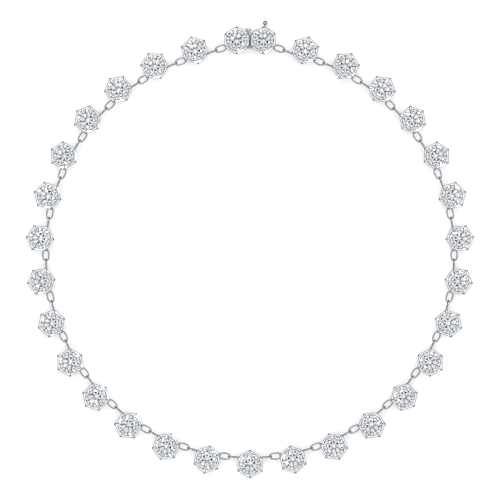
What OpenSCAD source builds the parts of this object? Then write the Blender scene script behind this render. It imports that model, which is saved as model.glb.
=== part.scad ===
// Riviere necklace, lying flat: round brilliants in six-claw settings, joined by soldered links
// and closed by a box clasp with a figure-eight safety catch.
// X runs across the loop, +Y towards the clasp, +Z up from the surface that the settings stand on.

/* [Stones] */
// Number of plain settings between the two clasp heads
strand_count = 29; // [21:2:35]
// Girdle diameter of each stone
stone_d = 6.5; // [5.8:0.1:7]
// Width of the table across its corners
table_d = 3.7; // [3.2:0.1:4.2]
// Height of the crown above the girdle
crown_h = 1.05; // [0.8:0.05:1.3]
// Thickness of the girdle
girdle_h = 0.2; // [0.1:0.05:0.3]
// Depth of the pavilion below the girdle
pavilion_h = 2.8; // [2.6:0.05:3]
// Height of the culet above the surface
culet_h = 0.45; // [0.4:0.05:0.8]
// Clear space between a stone and the metal
stone_gap = 0.12; // [0.1:0.01:0.2]

/* [Setting] */
// Width of a claw, seen from above
claw_w = 0.6; // [0.45:0.05:0.7]
// Thickness of a claw, seen from the side
claw_t = 0.55; // [0.4:0.05:0.6]
// Radius of the bend at a claw's shoulder, along its middle
claw_bend = 0.5; // [0.35:0.05:0.6]
// How far a claw reaches over the stone's edge
claw_reach = 0.4; // [0.3:0.05:0.6]
// How far the corner of a claw's shoulder stands out from the stone's edge
shoulder_out = 1.5; // [1.35:0.05:1.6]
// Height of the shoulder's corner above the girdle
shoulder_up = 0.15; // [0.05:0.05:0.25]
// Width of the bright rim round the stone, at the middle of each side
rim_w = 0.6; // [0.5:0.05:0.65]
// Width of the rim at its corners, where the claws rise
rim_corner_w = 1.1; // [1:0.05:1.2]
// Drop of the rim's face from its corners to the stone
rim_dish = 0.33; // [0.2:0.05:0.45]
// Thickness of the rim's edge
rim_edge = 0.2; // [0.15:0.05:0.3]
// Height of the conical cup below the rim
cup_h = 1.35; // [1.1:0.05:1.5]
// Wall of the cup, measured level
cup_wall = 0.55; // [0.4:0.05:0.7]
// Outer diameter of the foot ring
foot_d = 4.5; // [4:0.1:5]
// Width of the foot ring
foot_w = 0.8; // [0.6:0.05:1]
// Height of the foot ring
foot_h = 0.5; // [0.4:0.05:0.7]

/* [Links] */
// Wire diameter of the links
link_wire_d = 0.5; // [0.4:0.05:0.6]
// Outer width of a link
link_w = 2.4; // [2.1:0.1:2.8]
// Outer length of the link that lies flat
flat_link_l = 4.1; // [3.6:0.05:5]
// Outer length of the link that stands upright
upright_link_l = 4.05; // [3.6:0.05:5]
// Play between two joined links
link_play = 0.1; // [0.06:0.02:0.2]
// Height of the chain's centre line above the surface
link_z = 2.3; // [2.1:0.05:2.4]

/* [Clasp] */
// Distance between the two clasp stones
head_spacing = 8.4; // [8.2:0.1:9.4]
// How far the clasp stands outside the circle of the other stones
clasp_rise = 0.85; // [0:0.05:1.5]
// Outer diameter of the drum under each clasp stone
drum_d = 6; // [5.8:0.1:6.1]
// Wall of the drums
drum_wall = 0.4; // [0.3:0.05:0.5]
// Height of the drums
drum_h = 2.4; // [2.3:0.05:2.45]
// Floor of the drums
drum_floor = 0.25; // [0.2:0.02:0.28]
// Width of the two end plates that meet
plate_w = 4.9; // [4.4:0.1:5.2]
// Thickness of an end plate
plate_t = 0.6; // [0.45:0.05:0.7]
// Height of an end plate
plate_h = 3; // [2.6:0.1:3.2]
// Gap between the end plates when closed
plate_gap = 0.3; // [0.2:0.05:0.4]
// Width of the tongue
tongue_w = 3.2; // [2.4:0.1:3.6]
// Thickness of each leaf of the folded tongue
leaf_t = 0.22; // [0.18:0.02:0.28]
// Space between the leaves where they leave the end plate
leaf_spread = 0.3; // [0.2:0.02:0.34]
// Length of the tongue inside the box
tongue_l = 2.1; // [1.6:0.1:2.4]
// Clear space round the tongue in its slot
slot_gap = 0.12; // [0.08:0.01:0.16]

/* [Safety catch] */
// Distance of the hinge from the middle of the clasp, along the necklace
hinge_x = 0.76; // [0.7:0.02:0.9]
// Distance of the hinge from the middle of the clasp, outwards
hinge_y = 3.5; // [3.45:0.05:3.7]
// Height of the hinge and the peg above the surface
hinge_z = 1.22; // [1.18:0.02:1.3]
// Outer diameter of the hinge tube
tube_d = 1.2; // [1.1:0.05:1.3]
// Height of the hinge tube
tube_h = 1.3; // [1.1:0.05:1.4]
// Diameter of the catch's pin in the tube
pin_d = 0.5; // [0.4:0.05:0.6]
// Clearance of the pin in the tube, all round
pin_clear = 0.05; // [0.03:0.01:0.08]
// Thickness of the catch
catch_t = 0.4; // [0.3:0.05:0.45]
// Width of the catch's band
catch_band = 0.32; // [0.26:0.02:0.34]
// Diameter of the ball on the peg
ball_d = 1.4; // [1.2:0.1:1.5]
// Diameter of the peg
peg_d = 0.6; // [0.4:0.05:0.7]
// Distance of the peg from the hinge
peg_from_hinge = 5.57; // [5.5:0.05:5.8]
// Distance of the ball's centre from the middle of the clasp, outwards
ball_y = 5.7; // [5.5:0.1:5.8]
// Clear space round the ball as the catch's eye passes it
ball_clear = 0.08; // [0.05:0.01:0.12]

/* [Hidden] */
$fn = 48;
strand = [for (i = [1:strand_count]) i];
middle = (strand_count + 1) / 2;
function setting_name(i) = str("setting_", i < 10 ? "0" : "", i);

metal = "#d9dbde";
gem = "#e8f4ff";
claw_count = 6;
claw_step = 360 / claw_count;
corner_angle = claw_step / 2;
golden_turn = 137.5;

// Heights and radii in a setting
girdle_z = culet_h + pavilion_h;
crown_z = girdle_z + girdle_h;
table_z = crown_z + crown_h;
stone_r = stone_d / 2;
table_r = table_d / 2;

// Direction and heading from one point to another in a plane
function dir(p, q) = (q - p) / norm(q - p);
function heading(p, q) = atan2(q.y - p.y, q.x - p.x);
function left_of(d) = [-d.y, d.x];
function turned(p, a) = [p.x * cos(a) - p.y * sin(a), p.x * sin(a) + p.y * cos(a)];

// Middle line of a claw, as radius and height: its tip keeps the named space above the crown
crown_slope = dir([table_r, table_z], [stone_r, crown_z]);
tip_rise = (claw_t / 2 + stone_gap - claw_reach * crown_slope.y) / crown_slope.x;
tip = [stone_r - claw_reach, crown_z + tip_rise];
shoulder = [stone_r + shoulder_out, crown_z + shoulder_up];
foot = [(foot_d - foot_w) / 2, foot_h / 2];
drum_top = [(drum_d - drum_wall) / 2, drum_h - drum_wall / 2];
function claw_at(z) = foot.x + (shoulder.x - foot.x) * (z - foot.y) / (shoulder.y - foot.y);

// Path from a to c round the corner b, which an arc of radius r rounds off
bend_steps = 3;
function bent(a, b, c, r) = let (
        turn = heading(b, c) - heading(a, b),
        start = b - r * tan(turn / 2) * dir(a, b),
        centre = start + r * left_of(dir(a, b)),
        arc = [for (k = [0:bend_steps]) centre + turned(start - centre, turn * k / bend_steps)]
    ) concat([a], arc, [c]);
foot_claw = bent(foot, shoulder, tip, claw_bend);
drum_claw = bent(drum_top, shoulder, tip, claw_bend);

// A path moved sideways by w, with mitred corners
function mitre(path, k, w) = let (
        last = len(path) - 1,
        before = dir(path[max(k - 1, 0)], path[max(k, 1)]),
        after = dir(path[min(k, last - 1)], path[min(k + 1, last)]),
        n = left_of(before + after)
    ) path[k] + n * 2 * w / (n * n);
function beside(path, w) = [for (k = [0:len(path) - 1]) mitre(path, k, w)];
function reversed(list) = [for (k = [len(list) - 1:-1:0]) list[k]];

// Links: their centre lines start on the claws, at the two lower corners of a setting
wire_r = link_wire_d / 2;
// The rod that joins a drum to its link is thinner than the wire
rod_share = 0.8;
link_bend = link_w / 2 - wire_r;
flat_run = flat_link_l - link_wire_d;
upright_run = upright_link_l - link_wire_d;
link_span = flat_run + upright_run - link_wire_d - link_play;
corner_r = claw_at(link_z) + claw_t / 2;
corner_x = corner_r * cos(corner_angle);
corner_y = corner_r * sin(corner_angle);

// Loop: the radius at which the strand and the clasp close the circle
head_x = head_spacing / 2;
function half_angle(r) = atan(corner_x / (r - corner_y));
function corner_reach(r) = norm([corner_x, r - corner_y]);
function gap_angle(r) = 2 * asin(link_span / 2 / corner_reach(r));
function pitch_angle(r) = 2 * half_angle(r) + gap_angle(r);
function head_corner(r) = [-head_x - corner_x, r + clasp_rise - corner_y];
function clasp_gap(r) = let (k = norm(head_corner(r)), q = corner_reach(r))
    acos((k * k + q * q - link_span * link_span) / (2 * k * q));
function first_angle(r) = heading([0, 0], head_corner(r)) - 90 + clasp_gap(r) + half_angle(r);
function turn_left(r) = 360 - 2 * first_angle(r) - (strand_count - 1) * pitch_angle(r);
function close_loop(low, high, steps) = let (half = (low + high) / 2)
    steps == 0 ? half
    : turn_left(half) > 0 ? close_loop(low, half, steps - 1)
    : close_loop(half, high, steps - 1);
loop_round = strand_count * (link_span + 2 * corner_x);
halvings = 40;
loop_r = close_loop(loop_round / 9, loop_round / 4, halvings);
function station_angle(i) = first_angle(loop_r) + (i - 1) * pitch_angle(loop_r);
clasp_y = loop_r + clasp_rise;

// Corners that the links between the clasp and the first setting join
first_corner = turned([corner_x, loop_r - corner_y], station_angle(1));
last_corner = head_corner(loop_r);

// The loop is centred on the origin from its lowest claw to the ball of the safety catch
claw_out = max([for (p = beside(foot_claw, -claw_t / 2)) p.x]);
shift_y = (loop_r + claw_out - clasp_y - ball_y - ball_d / 2) / 2;

// Clasp
drum_r = drum_d / 2;
drum_mid = drum_r - drum_wall / 2;
plate_in = plate_gap / 2;
plate_out = plate_in + plate_t;
tongue_h = 2 * leaf_t + leaf_spread;
slot_z = drum_floor + slot_gap + leaf_t;
tongue_z = slot_z + slot_gap;

// Safety catch: half the height of its bracket's opening, and the eye that passes over the ball
bracket_h = tube_h / 2 + ball_clear;
bracket_x = tube_d / 2 + ball_clear + pin_clear;
ball_r = ball_d / 2;
peg_x = peg_from_hinge - hinge_x;
eye_near = peg_from_hinge - peg_d / 2 - ball_clear;
eye_far = norm([peg_from_hinge, ball_y - hinge_y]) + ball_r + ball_clear;
eye_r = max((eye_far - eye_near) / 2, ball_r + ball_clear);
eye_at = eye_far - eye_r;

function ring_points(n, r, z, from) = [for (k = [0:n - 1]) concat(turned([r, 0], from + k * 360 / n), z)];

// Round brilliant: table, 8 stars, 8 kites, 16 upper and 16 lower halves, 8 pavilion mains
mains = 8;
facet_step = 180 / mains;
lower_share = 0.22;

module brilliant() {
    // A star's outer corner stands halfway from the table to the girdle, on the kites' planes
    star_r = (table_r * cos(facet_step) + stone_r) / 2;
    star_z = crown_z + crown_h * (stone_r - star_r * cos(facet_step)) / (stone_r - table_r);
    lower_r = stone_r * lower_share;
    lower_z = culet_h + pavilion_h * lower_share * cos(facet_step);
    points = concat(
        ring_points(mains, table_r, table_z, 0),
        ring_points(mains, star_r, star_z, facet_step),
        ring_points(2 * mains, stone_r, crown_z, 0),
        ring_points(2 * mains, stone_r, girdle_z, 0),
        ring_points(mains, lower_r, lower_z, facet_step),
        [[0, 0, culet_h]]
    );
    star = mains;
    upper = 2 * mains;
    lower = 4 * mains;
    pavilion = 6 * mains;
    culet = 7 * mains;
    around = [0:mains - 1];
    faces = concat(
        [[for (k = [mains - 1:-1:0]) k]],
        [for (k = around) [k, (k + 1) % mains, star + k]],
        [for (k = around) [k, star + k, upper + 2 * k, star + (k + mains - 1) % mains]],
        [for (k = around) [star + k, upper + 2 * k + 1, upper + 2 * k]],
        [for (k = around) [star + k, upper + (2 * k + 2) % (2 * mains), upper + 2 * k + 1]],
        [for (k = [0:2 * mains - 1]) let (next = (k + 1) % (2 * mains)) [upper + k, upper + next, lower + next, lower + k]],
        [for (k = around) [pavilion + k, lower + 2 * k, lower + 2 * k + 1]],
        [for (k = around) [pavilion + k, lower + 2 * k + 1, lower + (2 * k + 2) % (2 * mains)]],
        [for (k = around) [culet, pavilion + (k + mains - 1) % mains, lower + 2 * k, pavilion + k]]
    );
    polyhedron(points, faces);
}

// A claw is a flat strip that follows its path
module claw(path) {
    outline = concat(beside(path, claw_t / 2), reversed(beside(path, -claw_t / 2)));
    rotate([90, 0, 0]) linear_extrude(claw_w, center = true) polygon(outline);
}

module claws(path) {
    for (k = [0:claw_count - 1]) rotate(corner_angle + k * claw_step) claw(path);
}

// Conical cup with a dished rim, cut to six sides whose corners meet the claws
module cup() {
    inner = stone_r + stone_gap;
    outer = stone_r + rim_corner_w;
    cup_slope = stone_r / pavilion_h;
    low_inner = inner - (cup_h - rim_dish) * cup_slope;
    intersection() {
        rotate_extrude() polygon([
            [inner, crown_z - rim_dish],
            [outer, crown_z],
            [outer, crown_z - rim_edge],
            [low_inner + cup_wall / 2, crown_z - cup_h - cup_wall / 2],
            [low_inner, crown_z - cup_h]
        ]);
        rotate(corner_angle)
            cylinder(h = table_z, r = (stone_r + rim_w) / cos(claw_step / 2), $fn = claw_count);
    }
}

module foot_ring() {
    difference() {
        cylinder(h = foot_h, d = foot_d);
        translate([0, 0, -foot_h / 2]) cylinder(h = 2 * foot_h, d = foot_d - 2 * foot_w);
    }
}

module basket() {
    cup();
    claws(foot_claw);
    foot_ring();
}

// Oval link that starts at the origin and runs along +X for the given length of its centre line
module link(run) {
    straight = run - 2 * link_bend;
    translate([link_bend, 0, 0]) {
        rotate(90) rotate_extrude(angle = 180) translate([link_bend, 0]) circle(wire_r);
        translate([straight, 0, 0])
            rotate(-90) rotate_extrude(angle = 180) translate([link_bend, 0]) circle(wire_r);
        for (s = [-1, 1]) translate([0, s * link_bend, 0])
            rotate([0, 90, 0]) cylinder(h = straight, r = wire_r);
    }
}

module flat_link(at, toward) translate([at.x, at.y, link_z]) rotate(toward) link(flat_run);

module upright_link(at, toward) translate([at.x, at.y, link_z]) rotate(toward) rotate([90, 0, 0]) link(upright_run);

module at_station(i) translate([0, shift_y, 0]) rotate(station_angle(i)) translate([0, loop_r, 0]) children();

// A setting with its soldered links: the upright one on the side of the clasp, the flat one away from it
module setting(i) {
    side = pitch_angle(loop_r) / 2;
    at_end = i == 1 || i == strand_count;
    to_clasp = at_end ? heading(first_corner, last_corner) - station_angle(1) : -side;
    color(metal) at_station(i) mirror([i > middle ? 1 : 0, 0, 0]) {
        basket();
        upright_link([corner_x, -corner_y], to_clasp);
        if (i == middle) upright_link([-corner_x, -corner_y], 180 + side);
        else flat_link([-corner_x, -corner_y], 180 + side);
    }
}

module at_clasp() translate([0, shift_y + clasp_y, 0]) children();

module at_head(s) at_clasp() translate([s * head_x, 0, 0]) children();

module at_hinge() at_clasp() translate([-hinge_x, hinge_y, hinge_z]) children();

module stones() {
    color(gem) {
        for (i = strand) at_station(i) rotate(i * golden_turn) brilliant();
        for (s = [-1, 1]) at_head(s) rotate(s * golden_turn) brilliant();
    }
}

// Drum with an end plate towards the other half and its flat link, as on the left half of the clasp
module head_body() {
    difference() {
        union() {
            cylinder(h = drum_h, r = drum_r);
            translate([0, -plate_w / 2, 0]) cube([head_x - plate_in, plate_w, drum_h]);
            translate([head_x - plate_out, -plate_w / 2, 0]) cube([plate_t, plate_w, plate_h]);
        }
        translate([0, 0, drum_floor]) cylinder(h = drum_h, r = drum_r - drum_wall);
        translate([0, drum_wall - plate_w / 2, drum_floor])
            cube([head_x - plate_out, plate_w - 2 * drum_wall, drum_h - drum_floor - leaf_t]);
    }
    cup();
    claws(drum_claw);
    rotate(180 + corner_angle) translate([drum_mid, 0, link_z])
        rotate([0, 90, 0]) cylinder(h = corner_r - drum_mid, r = wire_r * rod_share);
    flat_link([-corner_x, -corner_y], heading(last_corner, first_corner));
}

module hinge_tube() {
    difference() {
        union() {
            cylinder(h = tube_h, d = tube_d, center = true);
            translate([hinge_x - plate_out, plate_w / 2 - leaf_t - hinge_y, -tube_h / 2])
                cube([plate_t, hinge_y - plate_w / 2, tube_h]);
        }
        cylinder(h = 2 * tube_h, r = pin_d / 2 + pin_clear, center = true);
    }
}

module clasp_box() {
    color(metal) {
        at_head(-1) difference() {
            head_body();
            translate([head_x - plate_out - leaf_t, -tongue_w / 2 - slot_gap, slot_z])
                cube([plate_t + 2 * leaf_t, tongue_w + 2 * slot_gap, tongue_h + 2 * slot_gap]);
        }
        at_hinge() hinge_tube();
    }
}

// Folded leaf spring, seen from the side and pushed into the box
module tongue() {
    root = plate_in + leaf_t;
    rotate([90, 0, 0]) linear_extrude(tongue_w, center = true) polygon([
        [root, 0],
        [-tongue_l, 0],
        [-tongue_l - leaf_t, leaf_t],
        [-tongue_l, 2 * leaf_t],
        [root, tongue_h],
        [root, tongue_h - leaf_t],
        [-tongue_l + leaf_t, leaf_t],
        [root, leaf_t]
    ]);
}

module ball_peg() {
    rotate([90, 0, 0]) cylinder(h = ball_y - drum_mid, d = peg_d);
    sphere(ball_r);
}

module clasp_tongue() {
    color(metal) {
        at_head(1) mirror([1, 0, 0]) head_body();
        at_clasp() translate([0, 0, tongue_z]) tongue();
        at_clasp() translate([peg_x, ball_y, hinge_z]) ball_peg();
    }
}

// The catch seen from the side: a bracket round the hinge tube, a waist and the eye for the peg
module catch_outline() {
    top = bracket_h + catch_band;
    side = bracket_x + catch_band;
    difference() {
        union() {
            polygon([
                [0, top],
                [bracket_x, top],
                [side, bracket_h],
                [side, -bracket_h],
                [bracket_x, -top],
                [0, -top]
            ]);
            translate([bracket_x, -catch_band / 2]) square([eye_at - eye_r - bracket_x, catch_band]);
            translate([eye_at, 0]) circle(eye_r + catch_band);
        }
        translate([-bracket_x, -bracket_h]) square([2 * bracket_x, 2 * bracket_h]);
        translate([eye_at, 0]) circle(eye_r);
    }
}

module safety_catch() {
    color(metal) at_hinge() {
        rotate([90, 0, 0]) linear_extrude(catch_t, center = true) catch_outline();
        for (s = [-1, 1]) translate([0, 0, s * (bracket_h + catch_band / 2)])
            cylinder(h = catch_band, d = tube_d, center = true);
        cylinder(h = 2 * bracket_h + catch_band, d = pin_d, center = true);
    }
}

stones();
for (i = strand) setting(i);
clasp_box();
clasp_tongue();
safety_catch();
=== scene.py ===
import math
from types import SimpleNamespace

import bmesh
import bpy
from bpy.props import FloatProperty, FloatVectorProperty, IntProperty, PointerProperty
from mathutils import Matrix, Vector


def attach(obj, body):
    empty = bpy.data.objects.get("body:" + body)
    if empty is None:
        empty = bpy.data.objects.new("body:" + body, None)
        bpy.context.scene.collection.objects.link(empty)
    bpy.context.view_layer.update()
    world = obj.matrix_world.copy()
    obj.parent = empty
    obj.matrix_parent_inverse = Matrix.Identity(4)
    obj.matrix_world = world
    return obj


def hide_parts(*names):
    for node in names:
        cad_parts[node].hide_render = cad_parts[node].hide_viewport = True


bl_info = {
    "name": "Riviere Necklace",
    "version": (1, 0, 0),
    "blender": (4, 5, 0),
    "location": "View3D > Sidebar > Riviere",
    "description": "Builds a riviere necklace of claw-set brilliants with a box clasp, laid out flat",
    "category": "Object",
}

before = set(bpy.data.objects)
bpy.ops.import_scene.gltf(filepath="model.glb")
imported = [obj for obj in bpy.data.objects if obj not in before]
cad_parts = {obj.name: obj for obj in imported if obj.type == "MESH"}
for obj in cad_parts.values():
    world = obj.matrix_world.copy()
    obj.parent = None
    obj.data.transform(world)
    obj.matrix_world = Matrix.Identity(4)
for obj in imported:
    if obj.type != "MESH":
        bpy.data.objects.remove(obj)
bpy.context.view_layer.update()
MM = 0.001
X = Vector((1, 0, 0))
Y = Vector((0, 1, 0))
Z = Vector((0, 0, 1))
CLAWS = 6
MAINS = 8
GOLDEN_TURN = math.radians(137.5)
SMOOTH_ANGLE = math.radians(35)

# The material slots of a metal piece, after 0, which is the polished metal of the settings: darker copies of
# that metal, which paint shade on the links and the clasp, and inside the cups
DRAWN_SHADED, SEAT_SHADED = 1, 2

# Steps of the search for the loop's radius
HALVINGS = 40

# Lengths below which points count as one, or as lying in a cutting plane
SAME_PLACE = 1e-7
IN_PLANE = 1e-8

# A face looks along an axis if at least this part of its normal does
FACING = 0.9

# Turns, in radians, from which an outline has a corner and a surface has an edge
CORNER_TURN = 0.1
EDGE_TURN = 1.0

# How finely round shapes are cut
GIRDLE_SIDES = 8 * MAINS
CUP_STEPS = 96
RING_STEPS = 64
TUBE_STEPS = 48
BOSS_STEPS = 40
LINK_STEPS = 28
BOX_STEPS = 16
BEND_STEPS = 8
WIRE_SIDES = 14
POST_SIDES = 20
PEG_SIDES = 24
BALL_SIDES, BALL_RINGS = 32, 20
ROUNDING_STEPS, FINE_ROUNDING_STEPS = 2, 3
DOME_ANGLES = [math.radians(a) for a in (22, 42, 60, 75)]

# Scale and detail of the noise in each finish, and the range that noise mostly keeps to
POLISH_CLOUDS = (900, 3)
HAIRLINES = (9000, 2)
STONE_CLOUDS = (300, 1)
SURFACE_GRAIN = (400, 2)
NOISE_LOW, NOISE_HIGH = 0.3, 0.7

SENSOR_W = 36.0
FAR_END = 10.0

# Each softbox: its name, place, width, brightness and tint
SOFTBOXES = (
    ("key_softbox", (-0.12, 0.42, 0.5), 0.2, 3.0, (1.0, 1.0, 1.0)),
    ("side_softbox", (0.55, 0.1, 0.35), 0.18, 3.0, (0.97, 0.985, 1.0)),
    ("near_softbox", (-0.35, -0.4, 0.45), 0.16, 2.5, (1.0, 0.99, 0.98)),
)

# The light from all round: heights, from straight below at 0 to straight above at 1, each with its
# brightness. A wide bright ring overhead lies between a dark patch straight above and a dark band round
# the horizon. The metal mirrors the light far below the horizon in place of the surface.
SKY = (
    (0.0, 0.9), (0.2, 0.65), (0.32, 0.1), (0.5, 0.05), (0.76, 0.05),
    (0.85, 1.35), (0.968, 1.35), (0.987, 0.16), (1.0, 0.1),
)


def size(name, description, millimetres):
    """A length property, given in millimetres and kept in metres."""
    return FloatProperty(
        name=name, description=description, default=millimetres * MM,
        precision=5, unit="LENGTH", subtype="DISTANCE")


def share(name, description, default):
    """A share from 0 to 1."""
    return FloatProperty(
        name=name, description=description, default=default, min=0.0, max=1.0, subtype="FACTOR")


def tint(name, description, default):
    """A colour."""
    return FloatVectorProperty(
        name=name, description=description, default=default, size=3, min=0.0, max=1.0, subtype="COLOR")


class RiviereStone(bpy.types.PropertyGroup):
    """Sizes of the round brilliants"""

    girdle_d: size("Girdle", "Diameter of a stone at its girdle", 6.5)
    table_d: size("Table", "Width of the table across its corners", 3.7)
    crown_h: size("Crown", "Height of the crown above the girdle", 1.05)
    girdle_h: size("Girdle thickness", "Thickness of the girdle", 0.2)
    pavilion_h: size("Pavilion", "Depth of the pavilion below the girdle", 2.8)
    culet_h: size("Culet height", "Height of the culet above the surface", 0.45)
    gap: size("Gap", "Clear space between a stone and the metal", 0.08)
    lower_share: share("Lower halves", "Where the lower halves end, as a share of the girdle's radius", 0.22)


class RiviereBasket(bpy.types.PropertyGroup):
    """Sizes of a setting"""

    claw_w: size("Claw width", "Width of a claw, seen from above", 0.6)
    claw_t: size("Claw thickness", "Thickness of a claw, seen from the side", 0.55)
    claw_bend: size("Claw bend", "Radius of the bend at a claw's shoulder", 0.5)
    claw_reach: size("Claw reach", "How far a claw reaches over the stone's edge", 0.4)
    claw_settle: size("Claw settle", "How far a claw's tip is pressed down towards the crown", 0.06)
    shoulder_out: size("Shoulder out", "How far a claw's shoulder stands out from the stone", 1.5)
    shoulder_up: size("Shoulder up", "Height of a claw's shoulder above the girdle", 0.15)
    rim_w: size("Rim", "Width of the rim at the middle of each side", 0.6)
    rim_corner_w: size("Rim corner", "Width of the rim at its corners", 1.1)
    rim_dish: size("Rim dish", "Drop of the rim from its corners to the stone", 0.33)
    rim_edge: size("Rim edge", "Thickness of the rim's edge", 0.2)
    rim_bevel: size("Rim bevel", "Width of the polished bevel round the rim", 0.16)
    rim_bevel_drop: size("Rim bevel drop", "Drop of the bevel round the rim", 0.15)
    cup_h: size("Cup", "Height of the cup below the rim", 1.35)
    cup_wall: size("Cup wall", "Wall of the cup", 0.55)
    foot_d: size("Foot ring", "Outer diameter of the foot ring", 4.5)
    foot_w: size("Foot width", "Width of the foot ring", 0.8)
    foot_h: size("Foot height", "Height of the foot ring", 0.5)
    edge: size("Polished edge", "Radius that polishing leaves on the edges", 0.05)


class RiviereChain(bpy.types.PropertyGroup):
    """Sizes of the links and of the whole loop"""

    strand_count: IntProperty(
        name="Settings", description="Number of settings in the strand", default=29, min=3)
    wire_d: size("Link wire", "Diameter of the links' wire", 0.5)
    link_w: size("Link width", "Outer width of a link", 2.4)
    flat_l: size("Flat link", "Outer length of the link that lies flat", 4.1)
    upright_l: size("Upright link", "Outer length of the link that stands upright", 4.05)
    play: size("Play", "Play between two joined links", 0.1)
    fullness: share("Link shape", "Power of the links' oval, where 1 is an ellipse", 0.88)
    link_z: size("Chain height", "Height of the chain above the surface", 2.3)


class RiviereClasp(bpy.types.PropertyGroup):
    """Sizes of the box clasp"""

    place_y: size("Clasp place", "Place of the clasp's middle, from the middle of the necklace", 66.2193)
    head_spacing: size("Head spacing", "Distance between the two clasp stones", 8.4)
    rise: size("Rise", "How far the clasp stands outside the circle of stones", 0.85)
    drum_d: size("Drum", "Outer diameter of the drum under a clasp stone", 6.0)
    drum_wall: size("Drum wall", "Wall of the drums", 0.4)
    drum_h: size("Drum height", "Height of the drums", 2.4)
    drum_floor: size("Drum floor", "Floor of the drums", 0.25)
    plate_w: size("Plate width", "Width of an end plate", 4.9)
    plate_t: size("Plate thickness", "Thickness of an end plate", 0.6)
    plate_h: size("Plate height", "Height of an end plate", 3.0)
    plate_gap: size("Plate gap", "Gap between the end plates", 0.3)
    step: size("Solder step", "How far the box stands back from the drum and the end plate", 0.03)
    tongue_w: size("Tongue width", "Width of the folded tongue", 3.2)
    tongue_l: size("Tongue length", "Length of the tongue inside the box", 2.1)
    leaf_t: size("Leaf", "Thickness of each leaf of the tongue", 0.22)
    leaf_spread: size("Leaf spread", "Space between the leaves at the end plate", 0.3)
    slot_gap: size("Slot gap", "Clear space round the tongue in its slot", 0.12)


class RiviereCatch(bpy.types.PropertyGroup):
    """Sizes of the safety catch"""

    hinge_x: size("Hinge along", "Distance of the hinge from the clasp's middle, along the necklace", 0.76)
    hinge_y: size("Hinge out", "Distance of the hinge from the clasp's middle, outwards", 3.5)
    hinge_z: size("Hinge height", "Height of the hinge and the peg", 1.22)
    tube_d: size("Tube", "Outer diameter of the hinge tube", 1.2)
    tube_h: size("Tube height", "Height of the hinge tube", 1.3)
    pin_d: size("Pin", "Diameter of the pin in the tube", 0.5)
    pin_clear: size("Pin clearance", "Clearance of the pin in the tube", 0.05)
    catch_t: size("Thickness", "Thickness of the catch", 0.4)
    band: size("Band", "Width of the catch's band", 0.32)
    band_edge: size("Band edge", "Radius of the catch's rounded edges", 0.12)
    ball_d: size("Ball", "Diameter of the ball", 1.4)
    peg_d: size("Peg", "Diameter of the peg", 0.6)
    peg_from_hinge: size("Peg from hinge", "Distance of the peg from the hinge", 5.57)
    ball_y: size("Ball out", "Distance of the ball from the clasp's middle, outwards", 5.7)
    ball_clear: size("Ball clearance", "Clear space round the ball in the catch's eye", 0.08)
    dome_h: size("Dome", "Height of the domes at the two ends of the hinge", 0.2)


class RiviereFinish(bpy.types.PropertyGroup):
    """Colours and polish"""

    metal: tint("Settings", "Colour of the polished settings", (0.84, 0.845, 0.855))
    metal_shade: tint("Settings' shade", "Colour of the settings' thinner polish", (0.72, 0.725, 0.74))
    # The links and the clasp are the same white metal as the settings; their darker colours paint shade on
    # them
    drawn_shaded: tint("Links", "Colour of the links and the clasp", (0.58, 0.585, 0.595))
    drawn_shade: tint("Links' shade", "Colour of the links where they are duller", (0.46, 0.465, 0.48))
    # The darker colours inside the cups paint the shade that falls there and beside the stones
    seat_painted_shade: tint("Seats", "Colour of the metal inside the cups", (0.56, 0.563, 0.57))
    seat_shade: tint("Seats' shade", "Colour inside the cups where they are darkest", (0.44, 0.443, 0.45))
    gem: tint("Stones", "Colour of the stones", (0.92, 0.945, 0.97))
    gem_clear: tint("Clear stones", "Colour of the stones where they are clearest", (0.96, 0.975, 0.99))
    refraction: FloatProperty(
        name="Refraction", description="Refractive index of the stones", default=2.417, min=1.0)
    polish: share("Roughness", "Least roughness of the settings", 0.07)
    drawn_polish: share("Links' roughness", "Least roughness of the links and the clasp", 0.14)
    seat_polish: share("Seats' roughness", "Least roughness inside the cups", 0.28)
    wear: share("Wear", "Roughness that handling adds in places", 0.1)
    hairline: share("Hairlines", "Strength of the hairlines that polishing leaves", 0.06)
    hairline_h: size("Hairline height", "Height of the hairlines", 0.01)


class RiviereStage(bpy.types.PropertyGroup):
    """The surface, the camera and the lights"""

    floor: tint("Surface", "Colour of the surface", (0.93, 0.93, 0.935))
    floor_pale: tint("Pale surface", "Colour of the surface where it is palest", (0.94, 0.94, 0.945))
    floor_w: size("Surface width", "Width of the surface", 6000)
    floor_rough: share("Surface roughness", "Roughness of the surface", 0.9)
    floor_gloss: share("Surface gloss", "Specular level of the surface", 0.1)
    glow: FloatProperty(name="Glow", description="Light that the surface gives off", default=0.42, min=0.0)
    daylight: tint("Daylight", "Colour of the light from all round", (0.97, 0.985, 1.0))
    view_w: size("View width", "Width that the picture shows at the stones", 158.3)
    view_y: size("View middle", "Place of the picture's middle along the necklace's length", -0.18)
    lens: FloatProperty(name="Lens", description="Focal length in millimetres", default=180.0, min=10.0)


def heading(p, q):
    return math.atan2(q.y - p.y, q.x - p.x)


def flat(x, y):
    return Vector((x, y, 0.0))


def turned(p, angle):
    return Matrix.Rotation(angle, 3, "Z") @ p


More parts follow.
